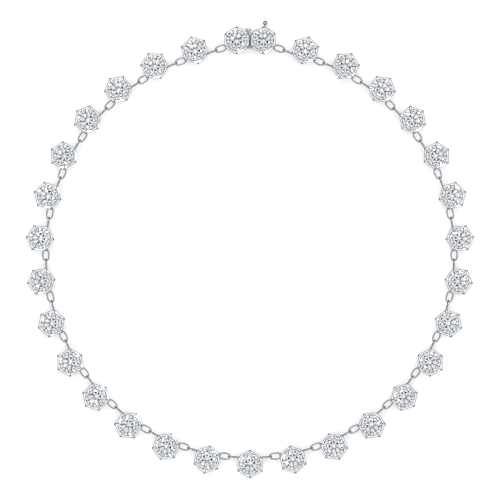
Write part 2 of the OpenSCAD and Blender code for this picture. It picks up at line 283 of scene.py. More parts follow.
def plan(scene):
    """Works out the places in a setting, round the loop and at the clasp from the driving sizes."""
    stone, basket = scene.riviere_stone, scene.riviere_basket
    chain, clasp = scene.riviere_chain, scene.riviere_clasp
    p = SimpleNamespace()
    p.stone_r = stone.girdle_d / 2
    p.table_r = stone.table_d / 2
    p.girdle_z = stone.culet_h + stone.pavilion_h
    p.crown_z = p.girdle_z + stone.girdle_h
    p.table_z = p.crown_z + stone.crown_h

    # A claw's path in a plane through the stone's axis, as X and Z
    half_claw = basket.claw_t / 2
    slope = Vector((p.stone_r - p.table_r, 0, p.crown_z - p.table_z)).normalized()
    tip_rise = (half_claw + stone.gap - basket.claw_settle - basket.claw_reach * slope.z) / slope.x
    p.tip = Vector((p.stone_r - basket.claw_reach, 0, p.crown_z + tip_rise))
    p.shoulder = Vector((p.stone_r + basket.shoulder_out, 0, p.crown_z + basket.shoulder_up))
    p.foot = Vector(((basket.foot_d - basket.foot_w) / 2, 0, basket.foot_h / 2))
    p.drum_top = Vector(((clasp.drum_d - clasp.drum_wall) / 2, 0, clasp.drum_h - clasp.drum_wall / 2))

    # Links start at the two lower corners of a setting
    rise = (chain.link_z - p.foot.z) / (p.shoulder.z - p.foot.z)
    p.corner_r = p.foot.x + (p.shoulder.x - p.foot.x) * rise + half_claw
    p.corner_x = p.corner_r * math.cos(math.pi / CLAWS)
    p.corner_y = p.corner_r * math.sin(math.pi / CLAWS)
    p.flat_run = chain.flat_l - chain.wire_d
    p.upright_run = chain.upright_l - chain.wire_d
    span = p.flat_run + p.upright_run - chain.wire_d - chain.play
    p.head_x = clasp.head_spacing / 2

    def angles(r):
        """The first setting's angle and the step from one setting to the next, on a loop of radius r."""
        reach = math.hypot(p.corner_x, r - p.corner_y)
        half = math.atan2(p.corner_x, r - p.corner_y)
        step = 2 * half + 2 * math.asin(span / 2 / reach)
        head = Vector((p.head_x + p.corner_x, r + clasp.rise - p.corner_y))
        k = head.length
        gap = math.acos((k * k + reach * reach - span * span) / (2 * k * reach))
        return math.atan2(head.x, head.y) + gap + half, step

    # The loop's radius is the one at which the strand and the clasp close the circle. It lies between half
    # and twice the radius of a circle as long as the strand.
    strand_l = chain.strand_count * (span + 2 * p.corner_x)
    low, high = strand_l / (4 * math.pi), strand_l / math.pi
    for _ in range(HALVINGS):
        p.loop_r = (low + high) / 2
        p.first, p.step = angles(p.loop_r)
        if 2 * p.first + (chain.strand_count - 1) * p.step < 2 * math.pi:
            high = p.loop_r
        else:
            low = p.loop_r

    p.clasp_y = clasp.place_y
    p.loop_y = p.clasp_y - clasp.rise - p.loop_r
    p.head_corner = flat(-p.head_x - p.corner_x, p.clasp_y - p.corner_y)
    p.first_corner = turned(flat(p.corner_x, p.loop_r - p.corner_y), p.first) + flat(0, p.loop_y)
    p.plate_in = clasp.plate_gap / 2
    p.plate_out = p.plate_in + clasp.plate_t
    return p


def station(p, i):
    """Where setting i stands: its place round the loop, with local +Y pointing outwards."""
    turn = Matrix.Rotation(p.first + (i - 1) * p.step, 4, "Z")
    return Matrix.Translation((0, p.loop_y, 0)) @ turn @ Matrix.Translation((0, p.loop_r, 0))


def head(p, s):
    """Where a clasp stone stands: the left one where s is -1, the right one where s is 1."""
    return Matrix.Translation((s * p.head_x, p.clasp_y, 0))


def of_type(geom, kind):
    return [g for g in geom if isinstance(g, kind)]


def merge(bm, part, place=None):
    """Adds a bmesh to another one, at a place, and frees it."""
    mesh = bpy.data.meshes.new("part")
    part.to_mesh(mesh)
    part.free()
    if place is not None:
        mesh.transform(place)
    bm.from_mesh(mesh)
    bpy.data.meshes.remove(mesh)


def drawn_shaded(bm):
    """Gives a part the rougher finish of wire drawing and rolling, in a darker copy of the settings' metal
    that paints shade on it, and hands it back.
    """
    for face in bm.faces:
        face.material_index = DRAWN_SHADED
    return bm


def soften(bm, edges, radius, segments=ROUNDING_STEPS):
    """Rounds edges to a radius."""
    bmesh.ops.bevel(
        bm, geom=list(edges), affect="EDGES", offset=radius, segments=segments, profile=0.5, material=-1,
        clamp_overlap=True)


def bent(a, b, c, r):
    """Points from a to c, with the corner at b rounded to radius r, in the XZ plane."""
    before, after = (b - a).normalized(), (c - b).normalized()
    turn = before.angle(after)
    start = b - before * r * math.tan(turn / 2)
    centre = start + Vector((-before.z, 0, before.x)) * r
    turns = [Matrix.Rotation(-turn * k / BEND_STEPS, 3, "Y") for k in range(BEND_STEPS + 1)]
    return [a, *(centre + part @ (start - centre) for part in turns), c]


def domed(points, r):
    """Adds a rounded end to a wire's path; gives the path and its radii."""
    along = (points[-1] - points[-2]).normalized()
    tip = [points[-1] + along * r * math.sin(a) for a in DOME_ANGLES]
    return [*points, *tip], [r] * len(points) + [r * math.cos(a) for a in DOME_ANGLES]


def wire(bm, points, radii, normal, oval=1.0, closed=False):
    """Draws a wire by extruding a circle along a path that lies in the plane with that normal.

    An oval wire is wider along the normal. Gives the wire's vertices.
    """
    last = len(points) - 1
    frames = []
    for k, point in enumerate(points):
        before = points[k - 1] if k or closed else point
        after = points[(k + 1) % len(points)] if k < last or closed else point
        along = (after - before).normalized()
        turn = Matrix((normal, along.cross(normal), along)).transposed().to_4x4()
        scale = Matrix.Diagonal((radii[k] * oval, radii[k], radii[k], 1))
        frames.append(Matrix.Translation(point) @ turn @ scale)
    made = bmesh.ops.create_circle(bm, segments=WIRE_SIDES, radius=1.0, matrix=frames[0])["verts"]
    first = edges = list({e for v in made for e in v.link_edges})
    for k in range(1, len(points) + closed):
        geom = bmesh.ops.extrude_edge_only(bm, edges=edges)["geom"]
        verts = of_type(geom, bmesh.types.BMVert)
        edges = [e for e in of_type(geom, bmesh.types.BMEdge) if e.is_boundary]
        bmesh.ops.transform(bm, matrix=frames[k % len(points)] @ frames[k - 1].inverted(), verts=verts)
        made += verts
    if not closed:
        bmesh.ops.edgeloop_fill(bm, edges=first)
        bmesh.ops.edgeloop_fill(bm, edges=edges)
    return made


def lathe(bm, profile, steps, rounding=0.0):
    """Spins a closed profile of radius and height round Z, with its corners rounded first."""
    own = bmesh.new()
    face = own.faces.new([own.verts.new((r, 0, z)) for r, z in profile])
    if rounding:
        off_axis = [c for c in face.loops if c.vert.co.x > rounding]
        corners = [c.vert for c in off_axis if abs(c.calc_angle() - math.pi) > CORNER_TURN]
        bmesh.ops.bevel(
            own, geom=corners, affect="VERTICES", offset=rounding, segments=FINE_ROUNDING_STEPS, profile=0.5,
            material=-1, clamp_overlap=True)
    bmesh.ops.delete(own, geom=own.faces[:], context="FACES_ONLY")
    axis = [e for e in own.edges if all(v.co.x < SAME_PLACE for v in e.verts)]
    bmesh.ops.delete(own, geom=axis, context="EDGES")
    bmesh.ops.spin(
        own, geom=own.verts[:] + own.edges[:], cent=(0, 0, 0), axis=(0, 0, 1), dvec=(0, 0, 0),
        angle=2 * math.pi, steps=steps, use_merge=True, use_normal_flip=False, use_duplicate=False)
    bmesh.ops.remove_doubles(own, verts=own.verts[:], dist=SAME_PLACE)
    merge(bm, own)


def trim(bm, point, normal):
    """Cuts off what lies beyond a plane and closes the cut."""
    cut = bmesh.ops.bisect_plane(
        bm, geom=bm.verts[:] + bm.edges[:] + bm.faces[:], dist=IN_PLANE, plane_co=point,
        plane_no=normal.normalized(), clear_outer=True, clear_inner=False)
    edges = [e for e in of_type(cut["geom_cut"], bmesh.types.BMEdge) if e.is_boundary]
    if edges:
        bmesh.ops.edgeloop_fill(bm, edges=edges)


def block(low, high, rounding=0.0):
    """A box, with its edges rounded if a radius is given."""
    bm = bmesh.new()
    low, high = Vector(low), Vector(high)
    place = Matrix.Translation((low + high) / 2) @ Matrix.Diagonal((*(high - low), 1))
    bmesh.ops.create_cube(bm, size=1.0, matrix=place)
    if rounding:
        soften(bm, bm.edges[:], rounding)
    return bm


def slab(outline, low, high, rounding=0.0):
    """A plate of an outline in X and Z, standing from low to high along Y."""
    bm = bmesh.new()
    face = bm.faces.new([bm.verts.new((x, low, z)) for x, z in outline])
    made = bmesh.ops.extrude_face_region(bm, geom=[face])["geom"]
    bmesh.ops.translate(bm, vec=(0, high - low, 0), verts=of_type(made, bmesh.types.BMVert))
    bmesh.ops.recalc_face_normals(bm, faces=bm.faces[:])
    if rounding:
        soften(bm, bm.edges[:], rounding)
    return bm


def rod(bm, start, end, r, sides):
    """A straight round bar from start to end."""
    along = end - start
    turn = along.to_track_quat("Z", "Y").to_matrix().to_4x4()
    bmesh.ops.create_cone(
        bm, cap_ends=True, segments=sides, radius1=r, radius2=r, depth=along.length,
        matrix=Matrix.Translation((start + end) / 2) @ turn)


def brilliant(scene, p):
    """Cuts a round brilliant: table, 8 stars, 8 kites, 16 upper and 16 lower halves, 8 pavilion mains."""
    stone = scene.riviere_stone
    height = p.table_z - stone.culet_h
    bm = bmesh.new()
    bmesh.ops.create_cone(
        bm, cap_ends=True, segments=GIRDLE_SIDES, radius1=p.stone_r, radius2=p.stone_r, depth=height,
        matrix=Matrix.Translation((0, 0, stone.culet_h + height / 2)))
    half = math.pi / MAINS

    def at(r, z, angle):
        return Vector((r * math.cos(angle), r * math.sin(angle), z))

    edge_r = p.table_r * math.cos(half)
    star_r = (edge_r + p.stone_r) / 2
    star_z = p.crown_z + stone.crown_h * (p.stone_r - star_r * math.cos(half)) / (p.stone_r - p.table_r)
    lower_r = p.stone_r * stone.lower_share
    lower_z = stone.culet_h + stone.pavilion_h * stone.lower_share * math.cos(half)
    for k in range(MAINS):
        a = 2 * k * half
        trim(bm, at(p.stone_r, p.girdle_z, a), at(stone.pavilion_h, -p.stone_r, a))
        trim(bm, at(p.stone_r, p.crown_z, a), at(stone.crown_h, p.stone_r - p.table_r, a))
        trim(bm, at(edge_r, p.table_z, a + half), at(p.table_z - star_z, star_r - edge_r, a + half))
    halves = ((p.crown_z, star_r, star_z, 1), (p.girdle_z, lower_r, lower_z, -1))
    for k in range(MAINS):
        a = 2 * k * half
        for b in (a - half, a + half):
            for z, inner_r, inner_z, up in halves:
                corner = at(p.stone_r, z, a)
                normal = (at(p.stone_r, z, b) - corner).cross(at(inner_r, inner_z, b) - corner)
                trim(bm, corner, normal if normal.z * up > 0 else -normal)
    bmesh.ops.recalc_face_normals(bm, faces=bm.faces[:])
    return bm


def cup(scene, p):
    """The conical cup with its dished rim, cut to six sides."""
    stone, basket = scene.riviere_stone, scene.riviere_basket
    inner = p.stone_r + stone.gap
    outer = p.stone_r + basket.rim_corner_w
    low_inner = inner - (basket.cup_h - basket.rim_dish) * p.stone_r / stone.pavilion_h
    low_z = p.crown_z - basket.cup_h
    profile = [
        (inner, p.crown_z - basket.rim_dish),
        (outer, p.crown_z),
        (outer, p.crown_z - basket.rim_edge),
        (low_inner + basket.cup_wall / 2, low_z - basket.cup_wall / 2),
        (low_inner, low_z),
    ]
    bm = bmesh.new()
    lathe(bm, profile, CUP_STEPS)
    for k in range(CLAWS):
        out = turned(X, 2 * math.pi * k / CLAWS)
        trim(bm, out * (p.stone_r + basket.rim_w), out)
    bmesh.ops.remove_doubles(bm, verts=bm.verts[:], dist=basket.edge)
    bmesh.ops.recalc_face_normals(bm, faces=bm.faces[:])

    # The bevel round the outside of the rim, and a narrower one beside the stone
    top = [f for f in bm.faces if f.normal.z > FACING]
    bevel = bmesh.ops.inset_region(
        bm, faces=top, thickness=basket.rim_bevel, use_boundary=True, use_even_offset=True)["faces"]
    kept = {v for f in top for v in f.verts}
    middle_r = (inner + p.stone_r + basket.rim_w) / 2
    dish_slope = basket.rim_dish / (outer - inner)
    for v in {v for f in bevel for v in f.verts}:
        beside_stone = v.co.xy.length < middle_r
        if v not in kept:
            v.co.z -= basket.edge if beside_stone else basket.rim_bevel_drop
        elif beside_stone:
            edge_r = inner + basket.edge
            v.co.z -= (v.co.xy.length - edge_r) * dish_slope
            v.co.xy = v.co.xy.normalized() * edge_r

    # The inside of the cup and the edge beside the stone take the darker metal of the stone's seat, which
    # paints the shade that falls there
    bm.normal_update()
    for face in bm.faces:
        if face.normal.z < FACING and face.normal.xy.dot(face.calc_center_median().xy) < 0:
            face.material_index = SEAT_SHADED
    return bm


def claws(scene, start, p):
    """Six claws, each from its start up to the shoulder and over the stone's edge."""
    basket = scene.riviere_basket
    bm = bmesh.new()
    points, radii = domed(bent(start, p.shoulder, p.tip, basket.claw_bend), basket.claw_t / 2)
    claw = wire(bm, points, radii, Y, oval=basket.claw_w / basket.claw_t)
    faces = bm.faces[:]
    bmesh.ops.rotate(bm, cent=(0, 0, 0), matrix=Matrix.Rotation(math.pi / CLAWS, 3, "Z"), verts=claw)
    for k in range(1, CLAWS):
        verts = of_type(bmesh.ops.duplicate(bm, geom=faces)["geom"], bmesh.types.BMVert)
        turn = Matrix.Rotation(2 * math.pi * k / CLAWS, 3, "Z")
        bmesh.ops.rotate(bm, cent=(0, 0, 0), matrix=turn, verts=verts)
    return bm


def foot_ring(scene):
    """The ring on which a setting stands."""
    basket = scene.riviere_basket
    outer = basket.foot_d / 2
    inner = outer - basket.foot_w
    section = [(inner, 0), (outer, 0), (outer, basket.foot_h), (inner, basket.foot_h)]
    bm = bmesh.new()
    lathe(bm, section, RING_STEPS, 2 * basket.edge)
    return bm


def claw_basket(scene, p, start):
    """The cup with its six claws."""
    bm = cup(scene, p)
    merge(bm, claws(scene, start, p))
    return bm


def link(scene, run):
    """An oval link that starts at the origin and runs along X, lying flat."""
    chain = scene.riviere_chain
    half_w = (chain.link_w - chain.wire_d) / 2

    def bulged(part, a):
        """Follows an ellipse, with its shoulders a little fuller."""
        return math.copysign(abs(part(a)) ** chain.fullness, part(a))

    turns = [2 * math.pi * k / LINK_STEPS for k in range(LINK_STEPS)]
    points = [Vector((run / 2 * (1 - bulged(math.cos, a)), half_w * bulged(math.sin, a), 0)) for a in turns]
    bm = bmesh.new()
    wire(bm, points, [chain.wire_d / 2] * len(points), Z, closed=True)
    return drawn_shaded(bm)


def add_link(bm, scene, corner, toward, run, upright):
    """Adds a link that runs from a corner towards a heading, upright or flat."""
    place = Matrix.Translation(corner + Z * scene.riviere_chain.link_z) @ Matrix.Rotation(toward, 4, "Z")
    if upright:
        place = place @ Matrix.Rotation(math.pi / 2, 4, "X")
    merge(bm, link(scene, run), place)


def noise(nodes, links, coordinates, scale, detail):
    """Adds a noise that stays with the piece."""
    node = nodes.new("ShaderNodeTexNoise")
    node.inputs["Scale"].default_value = scale
    node.inputs["Detail"].default_value = detail
    links.new(coordinates.outputs["Object"], node.inputs["Vector"])
    return node


def spread(nodes, links, source, low, high):
    """Maps a noise to the range from low to high."""
    node = nodes.new("ShaderNodeMapRange")
    node.inputs["From Min"].default_value = NOISE_LOW
    node.inputs["From Max"].default_value = NOISE_HIGH
    node.inputs["To Min"].default_value = low
    node.inputs["To Max"].default_value = high
    links.new(source.outputs["Fac"], node.inputs["Value"])
    return node


def blended(nodes, links, source, first, second):
    """Mixes two colours by a noise."""
    node = nodes.new("ShaderNodeMix")
    node.data_type = "RGBA"
    node.inputs["A"].default_value = (*first, 1)
    node.inputs["B"].default_value = (*second, 1)
    links.new(source.outputs["Fac"], node.inputs["Factor"])
    return node


def new_material(name):
    """Starts a material; gives it with its nodes, links, shader and coordinates."""
    material = bpy.data.materials.new(name)
    material.use_nodes = True
    nodes, links = material.node_tree.nodes, material.node_tree.links
    return material, nodes, links, nodes["Principled BSDF"], nodes.new("ShaderNodeTexCoord")


def white_metal(name, finish, colour, shade, polish):
    """White metal with the faint unevenness and hairlines that polishing leaves."""
    material, nodes, links, shader, coordinates = new_material(name)
    shader.inputs["Metallic"].default_value = 1.0
    clouds = noise(nodes, links, coordinates, *POLISH_CLOUDS)
    hair = noise(nodes, links, coordinates, *HAIRLINES)
    mixed = blended(nodes, links, clouds, colour, shade)
    links.new(mixed.outputs["Result"], shader.inputs["Base Color"])
    rough = spread(nodes, links, clouds, polish, polish + finish.wear)
    links.new(rough.outputs["Result"], shader.inputs["Roughness"])
    bump = nodes.new("ShaderNodeBump")
    bump.inputs["Strength"].default_value = finish.hairline
    bump.inputs["Distance"].default_value = finish.hairline_h
    links.new(hair.outputs["Fac"], bump.inputs["Height"])
    links.new(bump.outputs["Normal"], shader.inputs["Normal"])
    return material


def polished_metal(finish):
    """The rhodium-bright metal of the settings."""
    return white_metal("polished_white_metal", finish, finish.metal, finish.metal_shade, finish.polish)


def shaded_drawn_metal(finish):
    """The metal of the links and the clasp, which is only lightly polished after drawing and rolling, and
    whose greyer colour paints shade on them.
    """
    return white_metal("drawn_white_metal_painted_shade", finish, finish.drawn_shaded, finish.drawn_shade, finish.drawn_polish)


def shaded_seat_metal(finish):
    """The inside of the cups, which no polishing tool reaches and so stays rougher, and whose darker colour
    paints the shade beside the stones.
    """
    return white_metal("seat_white_metal_painted_shade", finish, finish.seat_painted_shade, finish.seat_shade, finish.seat_polish)


def clear_stone(finish):
    """Colourless stone of high refraction, with a trace of body colour."""
    material, nodes, links, shader, coordinates = new_material("clear_brilliant")
    clouds = noise(nodes, links, coordinates, *STONE_CLOUDS)
    colour = blended(nodes, links, clouds, finish.gem, finish.gem_clear)
    links.new(colour.outputs["Result"], shader.inputs["Base Color"])
    shader.inputs["Roughness"].default_value = 0.0
    shader.inputs["IOR"].default_value = finish.refraction
    shader.inputs["Transmission Weight"].default_value = 1.0
    return material


def finishes(scene, slot):
    """The materials of a slot, each made once."""
    makers = {
        "metal": {
            "polished_white_metal": polished_metal,
            "drawn_white_metal_painted_shade": shaded_drawn_metal,
            "seat_white_metal_painted_shade": shaded_seat_metal,
        },
        "gem": {"clear_brilliant": clear_stone},
    }
    return [bpy.data.materials.get(name) or make(scene.riviere_finish) for name, make in makers[slot].items()]


def piece(scene, bm, name, node, slot, body, smooth=SMOOTH_ANGLE):
    """Makes an object of a bmesh: closed, facing outwards, riding on its body in place of its node."""
    bmesh.ops.remove_doubles(bm, verts=bm.verts[:], dist=SAME_PLACE)
    bmesh.ops.recalc_face_normals(bm, faces=bm.faces[:])
    mesh = bpy.data.meshes.new(name)
    bm.to_mesh(mesh)
    bm.free()
    for material in finishes(scene, slot):
        mesh.materials.append(material)
    if smooth:
        mesh.shade_smooth()
        mesh.set_sharp_from_angle(angle=smooth)
    else:
        mesh.shade_flat()
    obj = bpy.data.objects.new(name, mesh)
    scene.collection.objects.link(obj)
    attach(obj, body)
    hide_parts(node)


class RIVIERE_OT_stones(bpy.types.Operator):
    """Cut the brilliants and set them round the necklace"""

    bl_idname = "riviere.stones"
    bl_label = "Stones"

    def execute(self, context):
        scene = context.scene
        p = plan(scene)
        count = scene.riviere_chain.strand_count
        places = [station(p, i) @ Matrix.Rotation(i * GOLDEN_TURN, 4, "Z") for i in range(1, count + 1)]
        places += [head(p, s) @ Matrix.Rotation(s * GOLDEN_TURN, 4, "Z") for s in (-1, 1)]
        cut = brilliant(scene, p)
        bm = bmesh.new()
        for place in places:
            merge(bm, cut.copy(), place)
        cut.free()
        piece(scene, bm, "brilliants", "stones", "gem", "necklace", smooth=None)
        return {"FINISHED"}


class RIVIERE_OT_settings(bpy.types.Operator):
    """Make each setting of the strand with its soldered links"""

    bl_idname = "riviere.settings"
    bl_label = "Settings"

    def execute(self, context):
        scene = context.scene
        p = plan(scene)
        count = scene.riviere_chain.strand_count
        middle = (count + 1) / 2
        plain = claw_basket(scene, p, p.foot)
        merge(plain, foot_ring(scene))
        for i in range(1, count + 1):
            s = -1 if i > middle else 1
            to_clasp = heading(p.first_corner, p.head_corner) - p.first if i in (1, count) else -p.step / 2
            near, far = flat(s * p.corner_x, -p.corner_y), flat(-s * p.corner_x, -p.corner_y)
            near_way = to_clasp if s > 0 else math.pi - to_clasp
            far_way = math.pi + p.step / 2 if s > 0 else -p.step / 2
            far_upright = i == middle
            bm = plain.copy()
            add_link(bm, scene, near, near_way, p.upright_run, True)
            add_link(bm, scene, far, far_way, p.upright_run if far_upright else p.flat_run, far_upright)
            bm.transform(station(p, i))
            piece(scene, bm, f"claw_setting_{i:02d}", f"setting_{i:02d}", "metal", "necklace")
        plain.free()
        return {"FINISHED"}


def drum(scene):
    """The open drum under a clasp stone, with the window through which it joins the box."""
    clasp = scene.riviere_clasp
    r = clasp.drum_d / 2
    inner = r - clasp.drum_wall
    low, high = clasp.drum_floor, clasp.drum_h - clasp.leaf_t
    bm = bmesh.new()
    profile = [
        (0, 0), (r, 0), (r, low), (r, high), (r, clasp.drum_h),
        (inner, clasp.drum_h), (inner, high), (inner, low), (0, low),
    ]
    lathe(bm, profile, CUP_STEPS)
    half = clasp.plate_w / 2 - clasp.drum_wall

    def in_window(face):
        c = face.calc_center_median()
        return c.x > 0 and low < c.z < high and all(abs(v.co.y) < half for v in face.verts)

    bmesh.ops.delete(bm, geom=[f for f in bm.faces if in_window(f)], context="FACES")
    bmesh.ops.bridge_loops(bm, edges=[e for e in bm.edges if e.is_boundary])
    bmesh.ops.recalc_face_normals(bm, faces=bm.faces[:])
    corners = [e for e in bm.edges if e.calc_face_angle(0) > EDGE_TURN]
    rims = [e for e in corners if all(not SAME_PLACE < v.co.z < clasp.drum_h - SAME_PLACE for v in e.verts)]
    soften(bm, rims, scene.riviere_basket.edge)
    return bm


def box_tube(scene, p):
    """The hollow box between a drum and its end plate, open into both."""
    clasp = scene.riviere_clasp
    r = (clasp.drum_d - clasp.drum_wall) / 2
    middle_z = clasp.drum_h / 2
    place = Matrix.Translation((p.head_x - (p.plate_in + p.plate_out) / 2, 0, middle_z))
    place = place @ Matrix.Rotation(math.pi / 2, 4, "Y")
    scale = Matrix.Diagonal((middle_z - clasp.step, clasp.plate_w / 2 - clasp.step, 1, 1))
    bm = bmesh.new()
    bmesh.ops.create_grid(bm, x_segments=1, y_segments=BOX_STEPS, size=1.0, matrix=place @ scale)
    hollow = bm.faces[:]
    wall = clasp.drum_wall - clasp.step
    walls = bmesh.ops.inset_region(bm, faces=hollow, thickness=wall, use_boundary=True)["faces"]
    for v in {v for f in hollow for v in f.verts}:
        v.co.z = clasp.drum_floor if v.co.z < middle_z else clasp.drum_h - clasp.leaf_t
    bmesh.ops.delete(bm, geom=hollow, context="FACES")
    made = bmesh.ops.extrude_face_region(bm, geom=walls)["geom"]
    for v in of_type(made, bmesh.types.BMVert):
        v.co.x = math.sqrt(r * r - v.co.y * v.co.y)
    return bm


def end_plate(scene, p, slotted):
    """The upright plate that ends a clasp half, whole or with the tongue's slot."""
    clasp, edge = scene.riviere_clasp, scene.riviere_basket.edge
    low = (p.head_x - p.plate_out, -clasp.plate_w / 2, 0)
    high = (p.head_x - p.plate_in, clasp.plate_w / 2, clasp.plate_h)
    bm = block(low, high)
    rims = bm.edges[:]
    if slotted:
        slot_y = clasp.tongue_w / 2 + clasp.slot_gap
        slot_z = clasp.drum_floor + clasp.leaf_t + clasp.slot_gap
        slot_top = slot_z + 2 * clasp.leaf_t + clasp.leaf_spread + 2 * clasp.slot_gap
        walls = [f for f in bm.faces if abs(f.normal.x) > FACING]
        bmesh.ops.inset_individual(bm, faces=walls, thickness=edge)
        for v in {v for wall in walls for v in wall.verts}:
            v.co.y = math.copysign(slot_y, v.co.y)
            v.co.z = slot_top if v.co.z > clasp.plate_h / 2 else slot_z
        loops = [e for wall in walls for e in wall.edges]
        bmesh.ops.delete(bm, geom=walls, context="FACES_ONLY")
        bmesh.ops.bridge_loops(bm, edges=loops)
    soften(bm, rims, edge, FINE_ROUNDING_STEPS)
    return bm


def half_clasp(scene, p, slotted):
    """A clasp half with its stone on the axis and its end plate towards +X, as the left one stands."""
    clasp, chain = scene.riviere_clasp, scene.riviere_chain
    bm = claw_basket(scene, p, p.drum_top)
    merge(bm, drawn_shaded(drum(scene)))
    merge(bm, drawn_shaded(box_tube(scene, p)))
    merge(bm, drawn_shaded(end_plate(scene, p, slotted)))
    toward = heading(p.head_corner, p.first_corner)
    add_link(bm, scene, flat(-p.corner_x, -p.corner_y), toward, p.flat_run, False)
    out = turned(-X, math.pi / CLAWS)
    level = Z * chain.link_z
    rod(bm, out * p.drum_top.x + level, out * p.corner_r + level, chain.wire_d / 2, POST_SIDES)
    return bm


def hinge_place(scene, p):
    """The middle of the safety catch's hinge."""
    catch = scene.riviere_catch
    return Vector((-catch.hinge_x, p.clasp_y + catch.hinge_y, catch.hinge_z))


def hinge_tube(scene, p):
    """The tube that holds the catch's pin, on its lug at the left end plate."""
    clasp, catch, edge = scene.riviere_clasp, scene.riviere_catch, scene.riviere_basket.edge
    hinge = hinge_place(scene, p)
    bore, tube_r, half_h = catch.pin_d / 2 + catch.pin_clear, catch.tube_d / 2, catch.tube_h / 2
    bm = bmesh.new()
    section = [(bore, -half_h), (tube_r, -half_h), (tube_r, half_h), (bore, half_h)]
    lathe(bm, section, TUBE_STEPS, edge)
    bm.transform(Matrix.Translation(hinge))
    lug_y = p.clasp_y + clasp.plate_w / 2 - clasp.leaf_t
    lug_low = (-p.plate_out + edge, lug_y, catch.hinge_z - half_h + edge)
    lug_high = (-p.plate_in - edge, hinge.y - (bore + tube_r) / 2, catch.hinge_z + half_h - edge)
    merge(bm, block(lug_low, lug_high, edge / 2))
    return drawn_shaded(bm)


def spring_tongue(scene, p):
    """The tongue of folded sheet that snaps into the box."""
    clasp = scene.riviere_clasp
    low_z = clasp.drum_floor + clasp.leaf_t + 2 * clasp.slot_gap
    high = 2 * clasp.leaf_t + clasp.leaf_spread
    root, leaf, end = p.plate_in + clasp.leaf_t, clasp.leaf_t, -clasp.tongue_l
    outline = [
        (root, 0), (end, 0), (end - leaf, leaf), (end, 2 * leaf),
        (root, high), (root, high - leaf), (end + leaf, leaf), (root, leaf),
    ]
    bm = slab(outline, -clasp.tongue_w / 2, clasp.tongue_w / 2)
    bm.transform(Matrix.Translation((0, p.clasp_y, low_z)))
    return drawn_shaded(bm)


def ball_peg(scene, p):
    """The peg that stands out from the right drum, with its ball."""
    catch = scene.riviere_catch
    ball = Vector((catch.peg_from_hinge - catch.hinge_x, p.clasp_y + catch.ball_y, catch.hinge_z))
    bm = bmesh.new()
    rod(bm, ball - Y * (catch.ball_y - p.drum_top.x), ball, catch.peg_d / 2, PEG_SIDES)
    bmesh.ops.create_uvsphere(
        bm, u_segments=BALL_SIDES, v_segments=BALL_RINGS, radius=catch.ball_d / 2,
        matrix=Matrix.Translation(ball) @ Matrix.Rotation(math.pi / 2, 4, "X"))
    return drawn_shaded(bm)


class RIVIERE_OT_clasp(bpy.types.Operator):
    """Make the two halves of the box clasp, the tongue, the hinge tube and the ball-ended peg"""

    bl_idname = "riviere.clasp"
    bl_label = "Clasp"

    def execute(self, context):
        scene = context.scene
        p = plan(scene)
        left = bmesh.new()
        merge(left, half_clasp(scene, p, True), head(p, -1))
        merge(left, hinge_tube(scene, p))
        piece(scene, left, "clasp_half_box", "clasp_box", "metal", "necklace")

        right = bmesh.new()
        merge(right, half_clasp(scene, p, False), head(p, 1) @ Matrix.Diagonal((-1, 1, 1, 1)))
        merge(right, spring_tongue(scene, p))
        merge(right, ball_peg(scene, p))
        piece(scene, right, "clasp_half_tongue", "clasp_tongue", "metal", "necklace")
        return {"FINISHED"}


def catch_bracket(catch, open_x, open_h):
    """The bracket that reaches round the hinge tube."""
    half_t, top, side = catch.catch_t / 2, open_h + catch.band, open_x + catch.band
    outline = [
        (0, top), (open_x, top), (side, open_h), (side, -open_h), (open_x, -top), (0, -top),
        (0, -open_h), (open_x, -open_h), (open_x, open_h), (0, open_h),
    ]
    return slab(outline, -half_t, half_t, catch.band_edge)


def catch_eye(catch, eye_r):
    """The ring that goes round the peg, lying flat."""
    half_t, rim_r = catch.catch_t / 2, eye_r + catch.band
    bm = bmesh.new()
    section = [(eye_r, -half_t), (rim_r, -half_t), (rim_r, half_t), (eye_r, half_t)]
    lathe(bm, section, RING_STEPS, catch.band_edge)
    return bm


def hinge_boss(scene, open_h, s):
    """The domed end of the hinge, above the tube where s is 1 and below it where s is -1."""
    catch = scene.riviere_catch
    boss_r, top = catch.tube_d / 2, open_h + catch.band
    # At two thirds of its radius, the dome lies a quarter of its height below its top
    profile = [
        (0, open_h), (boss_r, open_h), (boss_r, top - catch.dome_h),
        (boss_r * 2 / 3, top - catch.dome_h / 4), (0, top),
    ]
    bm = bmesh.new()
    lathe(bm, [(r, s * z) for r, z in profile], BOSS_STEPS, scene.riviere_basket.edge)
    return bm


class RIVIERE_OT_catch(bpy.types.Operator):
    """Make the figure-eight safety catch on its hinge"""

    bl_idname = "riviere.catch"
    bl_label = "Safety Catch"

    def execute(self, context):
        scene = context.scene
        p = plan(scene)
        catch, edge = scene.riviere_catch, scene.riviere_basket.edge
        band, half_t = catch.band, catch.catch_t / 2
        open_h = catch.tube_h / 2 + catch.ball_clear
        open_x = catch.tube_d / 2 + catch.ball_clear + catch.pin_clear
        near = catch.peg_from_hinge - catch.peg_d / 2 - catch.ball_clear
        ball_r = catch.ball_d / 2 + catch.ball_clear
        far = math.hypot(catch.peg_from_hinge, catch.ball_y - catch.hinge_y) + ball_r
        eye_r = max((far - near) / 2, ball_r)
        eye_x = far - eye_r

        bm = catch_bracket(catch, open_x, open_h)
        waist_low = (open_x + band / 2, edge / 2 - half_t, -band / 2)
        waist_high = (eye_x - eye_r - band / 3, half_t - edge / 2, band / 2)
        merge(bm, block(waist_low, waist_high, edge))
        eye_place = Matrix.Translation((eye_x, 0, 0)) @ Matrix.Rotation(math.pi / 2, 4, "X")
        merge(bm, catch_eye(catch, eye_r), eye_place)
        for s in (-1, 1):
            merge(bm, hinge_boss(scene, open_h, s))
        pin_end = Z * (open_h + band / 2)
        rod(bm, -pin_end, pin_end, catch.pin_d / 2, PEG_SIDES)
        bm.transform(Matrix.Translation(hinge_place(scene, p)))
        piece(scene, bm, "figure_eight_catch", "safety_catch", "metal", "catch")
        return {"FINISHED"}


